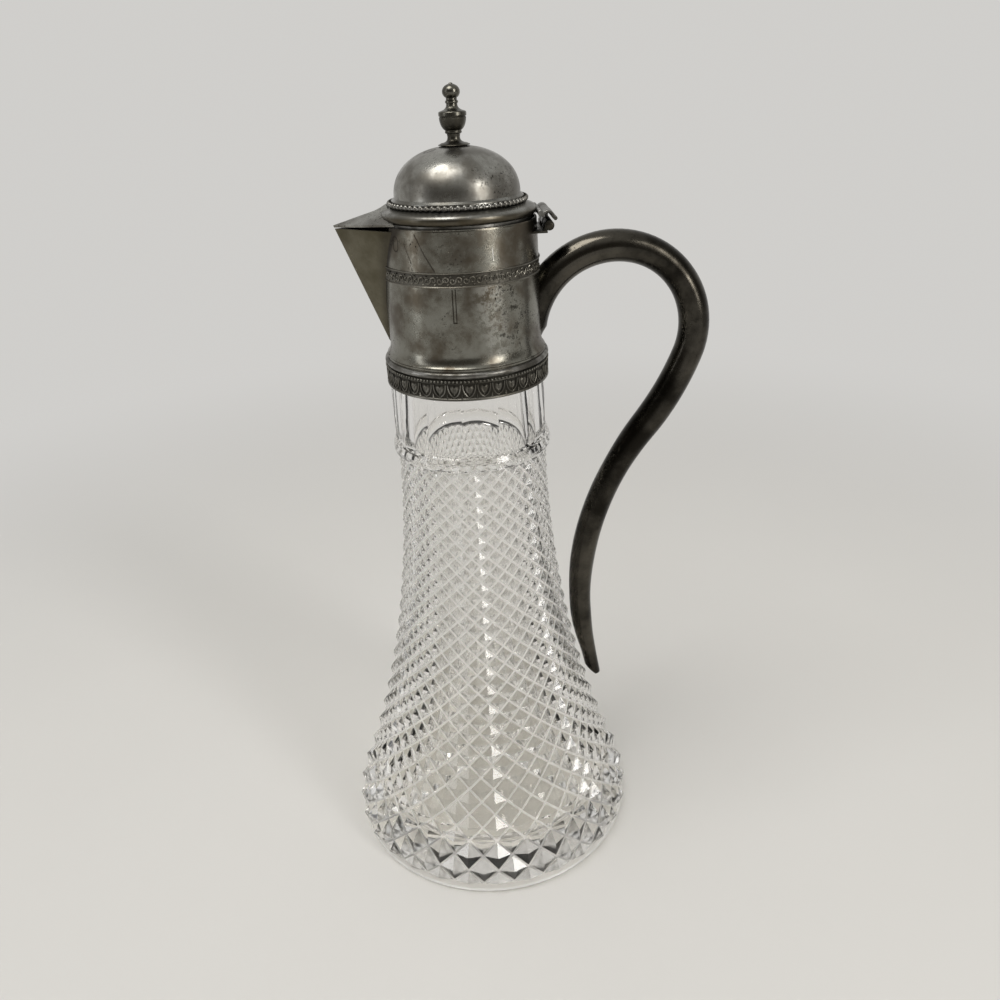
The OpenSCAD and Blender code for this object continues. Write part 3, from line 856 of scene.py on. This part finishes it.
def in_gap(point):
    """Whether a point lies where the spout or the handle crosses the scroll band."""
    return abs(point.y) < (SPOUT_GAP if point.x < 0 else HANDLE_GAP) * MM


def scroll_band():
    z0, z1 = SCROLL_Z - SCROLL_H / 2, SCROLL_Z + SCROLL_H / 2
    bead = ((0.03, 0), (0.38, 0.02), (0.5, 0.25), (0.38, 0.5), (0.14, 0.62))
    line = [(collar_r(z0) + u, z0 + v) for u, v in bead]
    line += [(collar_r(z1) + u, z1 - v) for u, v in bead[::-1]]
    strip = tidy(turned("strip", line, sides=180, closed=True), 40)
    carve(strip, wedge("spout_gap", 1.0, -0.3))
    carve(strip, block("handle_gap", (20, -5.2, z0 - 1), (32, 5.2, SCROLL_Z + 0.6)))
    scrolls = tidy(spun(scroll_motif(), SCROLL_COUNT))
    pick(scrolls, "FACE", lambda f: in_gap(f.calc_center_median()))
    bpy.ops.mesh.select_linked()
    bpy.ops.mesh.delete(type="FACE")
    return tidy(joined("scroll_band_chased", strip, scrolls), 40)


# ---- spout and handle ----

def collar_core(name, low=205):
    """Everything inside the collar's outer face."""
    line = [(collar_r(low), low)]
    if low < STEP_Z:
        line = [(28.4, low), (28.3, STEP_Z + 2.4), (27.15, STEP_Z + 4), (COVE_R, COVE_TOP + 1),
                (COVE_R, COVE_TOP + 3), (collar_r(230), 230)]
    line = [(r + CLEAR, z) for r, z in line + [(MOUTH_R, MOUTH_Z)]]
    line = [(0.5, low)] + line + [(MOUTH_R, MOUTH_Z + 4), (0.5, MOUTH_Z + 4)]
    return tidy(turned(name, line, sides=192, closed=True))


def spout():
    """A sheet folded along the front edge of the spout: a wedge with its channel cut out."""
    obj = wedge("spout_folded")
    pick(obj, "EDGE", lambda e: all(abs(v.co.y) < 1e-7 and v.co.x / MM < -27 for v in e.verts))
    eased(0.45, 4)
    free()
    carve(obj, wedge("channel", 1.25, SPOUT_INSET))
    carve(obj, collar_core("core"))
    return tidy(obj, 30)


def handle_line():
    """Points about 2 mm apart on the handle's centre line, each with the tube's radius there."""
    x, z = HANDLE_START
    heading = math.radians(HANDLE_HEADING)
    total = sum(r * abs(math.radians(a)) for r, a in HANDLE_BENDS)
    out, gone = [], 0.0
    for radius, turn in HANDLE_BENDS:
        length = radius * abs(math.radians(turn))
        n = max(2, round(length / 2))
        for k in range(n):
            u = gone / total * (len(HANDLE_RADII) - 1)
            i = min(int(u), len(HANDLE_RADII) - 2)
            f = (1 - math.cos(math.pi * (u - i))) / 2
            out.append((x, z, HANDLE_RADII[i] * (1 - f) + HANDLE_RADII[i + 1] * f))
            bend = math.radians(turn) / n
            x += length / n * math.cos(heading + bend / 2)
            z += length / n * math.sin(heading + bend / 2)
            heading += bend
            gone += length / n
    for k in range(5):
        out.append((x, z, HANDLE_RADII[-1]))
        x, z = x + 2 * math.cos(heading), z + 2 * math.sin(heading)
    return out


def handle_tube():
    line = [(22.6, 211.5, 2.4), (22.9, 214.5, 3.6), (23.2, 217.5, 4.8)] + handle_line()
    tube = wire("handle_bent", [(x, 0, z) for x, z, r in line], 0.985, [r for x, z, r in line], sides=14)
    pick(tube, "FACE", lambda f: len(f.verts) > 8)
    bpy.ops.mesh.delete(type="FACE")
    for point, normal in (((HANDLE_CUT[0] * MM, 0, HANDLE_CUT[1] * MM), (-1, 0, -1)),
                          ((0, 0, HANDLE_END_Z * MM), (0, 0, -1))):
        pick(tube, "FACE", lambda f: True)
        bpy.ops.mesh.bisect(plane_co=point, plane_no=normal, clear_outer=True, use_fill=False)
    free()
    tidy(tube, 60)
    modify(tube, "SOLIDIFY", thickness=HANDLE_WALL * MM, offset=-1.0)
    carve(tube, collar_core("core"))
    return tidy(tube, 40)


# ---- hinge ----

def hinge_bracket():
    low = HINGE_Z - BARREL_R - 0.75
    end = HINGE_X - 0.6
    shelf = block("shelf", (MOUTH_R - 3, -HINGE_L / 2, low), (end, HINGE_L / 2, low + 0.7), 0.15)
    width = HINGE_L / 2 - BARREL_L / 2 - 0.5
    webs = [block("web", (end - 1.2, y, low + 0.1), (end - 0.05, y + width, low + 1.9), 0.12)
            for y in (-HINGE_L / 2 + 0.05, BARREL_L / 2 + 0.45)]
    obj = welded("bracket_eased", shelf, *webs)
    carve(obj, rod("gap", -14, 14, BARREL_R + CLEAR, bevel=0))
    carve(obj, collar_core("core", 240))
    return tidy(obj, 30)


def barrel(name, y0, y1, bore):
    obj = rod(name, y0, y1, BARREL_R)
    carve(obj, rod("bore", y0 - 1, y1 + 1, bore, sides=24, bevel=0))
    return tidy(obj, 30)


def hinge_pin():
    shaft = rod("shaft", -HINGE_L / 2 - 0.3, HINGE_L / 2 + 0.3, PIN_R, sides=24)
    heads = [rod("head", y, y + 0.45, 1.15, sides=24, bevel=0.18)
             for y in (-HINGE_L / 2 - 0.5, HINGE_L / 2 + 0.05)]
    return tidy(joined("pin_peened", shaft, *heads), 30)


def bar_along_pin(name, outline, half):
    """Draws a section of (x, z) from the pin's centre, and pulls it along the pin."""
    corners = [(HINGE_X + u, -half, HINGE_Z + v) for u, v in outline]
    piece = panel(name, corners, [tuple(range(len(corners)))])
    pick(piece, "FACE", lambda f: True)
    bpy.ops.mesh.extrude_region_move(TRANSFORM_OT_translate={"value": (0, 2 * half * MM, 0)})
    free()
    tidy(piece, 30)
    pick(piece, "EDGE", lambda e: abs(e.verts[0].co.y - e.verts[1].co.y) < 1e-7)
    eased(0.1, 1)
    free()
    return piece


def hinge_strap():
    """The lid's leaf: a cover of three reeds, the middle one hollow, over a tongue that grips the lid."""
    left = arc((-3.0, 4.0), 0.85, 266, 4, 14)
    hood = arc((-0.4, 2.8), 2.0, 143, 12, 12)
    right = arc((2.0, 2.2), 0.65, 110, -150, 12)
    under = arc((-0.4, 2.8), 1.3, 0, 180, 12)
    reeds = left + hood + right + [(1.0, 2.3)] + under + [(-2.4, 2.8), (-2.4, 3.12)]
    leaf = [(-9, 3.95), (-9, 3.25), (-2.3, 3.25), (-2.1, 2.85), (-0.7, 2.85), (-0.7, 1.2), (0.3, 1.2),
            (0.3, 2.85), (1.35, 2.85), (1.3, 3.4), (-1.9, 3.4), (-2.1, 3.95)]
    cover = bar_along_pin("cover", reeds, HINGE_L / 2)
    tongue = bar_along_pin("tongue", leaf, BARREL_L / 2)
    obj = welded("cover_reeded", cover, tongue)
    carve(obj, rod("gap", -14, 14, BARREL_R + CLEAR, bevel=0))
    carve(obj, rim_core([(0.5, LID_Z - 2), (LID_R - 1.5, LID_Z - 2)]))
    return tidy(obj, 32)


# ---- lid ----

def rim_profile(out=0.0):
    """Outline of the lid's rim, from its underside to the foot of the dome."""
    line = arc((LID_R - 1.7, LID_Z + 1.7), 1.7, -80, 62, 12)
    line += bezier([(LID_R - 1.2, LID_Z + 3.3), (LID_R - 2.2, LID_Z + 3.7), (LID_R - 3.2, LID_Z + 4.0),
                    (LID_R - 3.7, LID_Z + 4.6)], 6)
    line += [(DOME_R + 1, DOME_Z - 0.7), (DOME_R + 0.1, DOME_Z)]
    return [(r + out, z) for r, z in line]


def rim_core(below):
    """Everything inside the rim's outer face, with its own outline below that."""
    line = below + rim_profile(CLEAR) + [(0.5, DOME_Z)]
    return tidy(turned("rim", line, sides=160, closed=True))


def lid_flange():
    inside = [(DOME_R - SHEET, DOME_Z), (DOME_R - SHEET, LID_Z + 4), (LID_R - 4, LID_Z + 2.6),
              (LID_R - 2.2, LID_Z + 1.9), (LID_R - 1.9, LID_Z + 1), (LID_R - 2.2, LID_Z + 0.1)]
    return tidy(turned("flange_stamped", rim_profile() + inside, sides=180, closed=True), 32)


def bead_ring():
    radius = DOME_R + 1.75
    line = arc((radius, LID_Z + 5.05), 0.42, 0, 330, 11)
    core = turned("core", line, sides=140, closed=True)
    beads = beading(12, 8, 0.84, radius, LID_Z + 5.25, LID_BEADS)
    return tidy(joined("bead_wire", core, beads), 40)


def dome_profile(r, h, n):
    """(radius, height) up the dome, from its foot to its middle."""
    out = []
    for i in range(n + 1):
        a = math.radians(90 * i / n)
        out.append((r * max(math.cos(a), 0) ** DOME_POWER, DOME_Z + h * math.sin(a) ** DOME_POWER))
    return out


def lid_dome():
    outer = dome_profile(DOME_R, DOME_H, 36)[:-1]
    inner = dome_profile(DOME_R - SHEET, DOME_H - SHEET, 36)[:-1]
    outer = [p for p in outer if p[0] > 1.7] + [(1.55, DOME_Z + DOME_H)]
    inner = [(1.55, DOME_Z + DOME_H - SHEET)] + [p for p in reversed(inner) if p[0] > 1.7]
    return tidy(turned("dome_raised", outer + inner, sides=180, closed=True), 50)


def finial():
    line = [(5.2, 0.33), (5.25, 0.42), (5.1, 0.6), (4.6, 0.8)]
    line += bezier([(4.2, 1), (2.2, 1.2), (1.9, 2.2), (2.1, 3.2)], 8)
    line += [(2.2, 3.7), (2.65, 3.9), (2.75, 4.2), (2.65, 4.5)]
    line += bezier([(2.7, 4.75), (3.8, 5.4), (4.3, 7), (4.4, 8.5)], 9)
    line += [(4.2, 8.7), (4.25, 8.85), (4.5, 9), (4.52, 9.9), (4.4, 10.15),
             (4.1, 10.3)]
    line += bezier([(3.9, 10.4), (2.2, 10.8), (1.7, 11.6), (1.8, 12.5)], 8)
    line += [(2.05, 12.7), (2.1, 13.0), (2.05, 13.3), (1.75, 13.5)]
    line += arc((0, 15.9), 2.85, -52, 76, 18, 0.8)
    line += [(0.62, 18.25), (0.45, 18.42), (0, 18.5)]
    line = [(r, DOME_Z + DOME_H - 0.3 + z) for r, z in line]
    return tidy(turned("finial_cast", line, sides=72, floor=True), 40)


def lid_beak():
    """The roof over the spout, folded along its ridge and swept up to the rim."""
    ridge = [(-42.2, 257.3), (-40.3, 257.75), (-38.2, 258.3), (-35.8, 259.0), (-33.4, 259.7), (-30.5, 260.5),
             (-28, 261.2), (-26, 262.1), (-24, 263.2)]
    eave = [(-42.2, 0.3, 256.95), (-40.2, 1.6, 257.1), (-38, 3.2, 257.25), (-35.4, 5.1, 257.4),
            (-32.6, 7.2, 257.55), (-29.6, 9.4, 257.75), (-26.6, 11.6, 257.95), (-23.5, 13.9, 258.15),
            (-21, 15.7, 258.3)]
    n = len(ridge)
    corners = [(x, 0, z) for x, z in ridge] + eave + [(x, -y, z) for x, y, z in eave]
    faces = [(i, i + 1, n + i + 1, n + i) for i in range(n - 1)]
    faces += [(i + 1, i, 2 * n + i, 2 * n + i + 1) for i in range(n - 1)]
    roof = tidy(panel("roof", corners, faces))
    pick(roof, "EDGE", lambda e: all(abs(v.co.y) < 1e-7 for v in e.verts) and len(e.link_faces) == 2)
    eased(0.5, 3)
    free()
    modify(roof, "SOLIDIFY", thickness=ROOF_SHEET * MM, offset=-1.0)
    carve(roof, rim_core([(0.5, LID_Z - 4), (LID_R - 1.5, LID_Z - 4), (LID_R - 1.5, LID_Z)]))
    roof.name = "beak_folded"
    return tidy(roof, 35)


# ---- the jug, put together ----

GLASS = glass_finish()
GROOVE = glass_finish("glass_grooves", rough=0.5, tint=(0.93, 0.92, 0.89, 1), clear_share=0.7)
PLASTER = plaster_finish()
COLLAR = plate("collar_plate", (0.225, 0.22, 0.19), (0.095, 0.081, 0.061), cloud=85.0, pitting=1.0,
               smooth=0.17, rough=0.3, marks=collar_marks)
LID = plate("lid_plate", (0.34, 0.335, 0.31), (0.14, 0.132, 0.115), cloud=90.0, pitting=1.0, smooth=0.2,
            rough=0.32, marks=dome_marks)
RIM = plate("rim_plate", (0.26, 0.258, 0.24), (0.12, 0.114, 0.098), cloud=110.0, pitting=1.0, smooth=0.2,
            rough=0.34, marks=rim_painted_shade)
SPOUT = plate("spout_plate", (0.15, 0.137, 0.1), (0.085, 0.075, 0.048), cloud=45.0, pitting=0.2, smooth=0.24,
              rough=0.34, wave=0.25, marks=spout_painted_shade)
HANDLE = plate("handle_plate", (0.08, 0.073, 0.06), (0.014, 0.0125, 0.01), cloud=38.0, pitting=0.4,
               smooth=0.14, rough=0.25, wave=0.3)
LEAVES = plate("leaf_plate", (0.17, 0.163, 0.143), (0.09, 0.083, 0.068), pitting=0.2, recess=(28.8, 29.4),
               ground=(0.028, 0.026, 0.021))
SCROLLS = plate("scroll_plate", (0.18, 0.17, 0.145), (0.1, 0.092, 0.075), pitting=0.2, recess=(26.5, 27.2))
# painted shade: the recess darkens the beads' inner halves and the core wire under them, standing for the
# shade beneath and between the beads
BEADS = plate("bead_plate", (0.27, 0.265, 0.245), (0.16, 0.152, 0.135), pitting=0.2, smooth=0.22, rough=0.34,
              recess=(22.75, 23.25))
KNOP = plate("knop_plate", (0.135, 0.13, 0.11), (0.05, 0.046, 0.037), cloud=140.0, pitting=0.6, smooth=0.2,
             rough=0.34)
HINGE = plate("hinge_plate", (0.22, 0.215, 0.2), (0.08, 0.075, 0.064), cloud=140.0, pitting=0.5, smooth=0.24)
# painted shade: a darker copy of the hinge plate for the bracket and the barrels, which sit in shade
SHADED = plate("shaded_plate", (0.07, 0.066, 0.055), (0.022, 0.02, 0.016), cloud=140.0, pitting=0.5,
               rough=0.45)
BRASS = plate("dull_brass", (0.07, 0.064, 0.052), (0.03, 0.026, 0.02), cloud=140.0, pitting=0.4)


def fit(obj, material, body, node):
    """Gives a piece its material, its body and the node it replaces."""
    if material:
        obj.data.materials.clear()
        obj.data.materials.append(material)
    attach(obj, body)
    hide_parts(node)


fit(glass_body(), None, "jug", "glass_body")
fit(collar_wall(), COLLAR, "jug", "collar_wall")
fit(leaf_band(), LEAVES, "jug", "leaf_band")
fit(step_ring(), HINGE, "jug", "step_ring")
fit(scroll_band(), SCROLLS, "jug", "scroll_band")
fit(spout(), SPOUT, "jug", "spout")
fit(handle_tube(), HANDLE, "jug", "handle_tube")
fit(hinge_bracket(), SHADED, "jug", "hinge_bracket")
fit(barrel("barrel_near", -HINGE_L / 2, -BARREL_L / 2 - 0.1, FIXED_BORE), SHADED, "jug",
    "knuckle_front")
fit(barrel("barrel_far", BARREL_L / 2 + 0.1, HINGE_L / 2, FIXED_BORE), SHADED, "jug",
    "knuckle_back")
fit(hinge_pin(), BRASS, "jug", "hinge_pin")
fit(barrel("barrel_lid", -BARREL_L / 2, BARREL_L / 2, LID_BORE), SHADED, "lid",
    "knuckle_lid")
fit(hinge_strap(), HINGE, "lid", "hinge_strap")
fit(lid_flange(), RIM, "lid", "lid_flange")
fit(lid_beak(), LID, "lid", "lid_beak")
fit(bead_ring(), BEADS, "lid", "bead_ring")
fit(lid_dome(), LID, "lid", "lid_dome")
fit(finial(), KNOP, "lid", "finial")

for kept, material in (("plaster_bed", PLASTER), ("lid_bezel", HINGE), ("finial_washer", BRASS),
                       ("finial_nut", BRASS)):
    mesh = frame["nodes"][kept].data
    mesh.materials.clear()
    mesh.materials.append(material)

# ---- surroundings ----

CAMERA_PLACE = (0, -290.386, 295.978)
PITCH, PAN, ROLL, FOCAL_SHARE = 0.4653022, 0.0325750, -0.0469713, 0.82


def photograph_camera():
    data = bpy.data.cameras.new("camera")
    data.sensor_width = 36
    data.lens = FOCAL_SHARE * data.sensor_width
    data.clip_start, data.clip_end = 0.01, 20
    cam = placed("camera", data)
    ahead = Vector((math.sin(PAN) * math.cos(PITCH), math.cos(PAN) * math.cos(PITCH), -math.sin(PITCH)))
    right = Vector((math.cos(PAN), -math.sin(PAN), 0))
    up = right.cross(ahead)
    x_axis = math.cos(ROLL) * right + math.sin(ROLL) * up
    y_axis = math.cos(ROLL) * up - math.sin(ROLL) * right
    turn = Matrix((x_axis, y_axis, -ahead)).transposed().to_4x4()
    cam.matrix_world = Matrix.Translation(Vector(CAMERA_PLACE) * MM) @ turn
    bpy.context.scene.camera = cam


BACKDROP = (0.63, 0.62, 0.6, 1)


def backdrop_seen(tree):
    """1 for what the camera, metal and glass see, and 0 for the light that reaches the jug."""
    rays = add(tree, "LightPath").outputs
    seen = math_node(tree, "MAXIMUM", rays["Is Camera Ray"], rays["Is Glossy Ray"])
    return math_node(tree, "MAXIMUM", seen, rays["Is Transmission Ray"])


def pale_floor():
    """A painted floor that runs into the backdrop's colour away from the jug."""
    free()
    bpy.ops.mesh.primitive_plane_add(size=6, location=(0, 0, -0.0004))
    floor = titled("floor")
    material, tree, shader, place = finish("floor_paint", metallic=0.0, Roughness=0.7)
    soft = noise(tree, place, Scale=6.0, Detail=4.0)
    tree.links.new(blend_colour(tree, soft, (0.6, 0.59, 0.57, 1), (0.57, 0.56, 0.54, 1)),
                   shader.inputs["Base Color"])
    away = spread(tree, add(tree, "VectorMath", links={0: place}, operation="LENGTH").outputs[1], 0.22, 0.75)
    far = add(tree, "Emission", {"Color": BACKDROP})
    surface(tree, times(tree, away, backdrop_seen(tree)), shader, far)
    floor.data.materials.append(material)


def softbox(name, place, aim, size, power, colour=(1, 0.98, 0.95)):
    light = bpy.data.lights.new(name, "AREA")
    light.shape, light.size, light.size_y = "RECTANGLE", size[0], size[1]
    light.energy, light.color = power, colour
    lamp = placed(name, light)
    lamp.location = place
    lamp.rotation_euler = (Vector(aim) - Vector(place)).to_track_quat("-Z", "Y").to_euler()


def pale_world():
    """A room with a pale wall behind the jug and a darker side in front of it."""
    world = bpy.data.worlds.new("studio")
    bpy.context.scene.world = world
    world.use_nodes = True
    tree = world.node_tree
    back = tree.nodes["Background"]
    seen = add(tree, "LightPath").outputs["Is Camera Ray"]
    side = add(tree, "SeparateXYZ", links={0: add(tree, "TexCoord").outputs["Generated"]}).outputs
    front = spread(tree, side[1], -0.35, 0.35)
    room = blend_colour(tree, front, (0.1, 0.092, 0.08, 1), (0.62, 0.61, 0.59, 1))
    top = spread(tree, side[2], 0.35, 0.85)
    room = blend_colour(tree, top, room, (0.6, 0.6, 0.585, 1))
    tree.links.new(blend_colour(tree, seen, room, BACKDROP), back.inputs["Color"])


photograph_camera()
pale_floor()
pale_world()
softbox("window", (0.8, -0.8, 0.6), (0, 0, 0.2), (0.24, 0.9), 8)
softbox("ceiling", (-0.3, -0.22, 1.2), (0, 0, 0.2), (0.6, 0.6), 7)
softbox("left_fill", (-1.1, -0.35, 0.45), (0, 0, 0.2), (0.25, 0.9), 2.0, (0.95, 0.97, 1))

bpy.context.scene.view_settings.view_transform = "Standard"
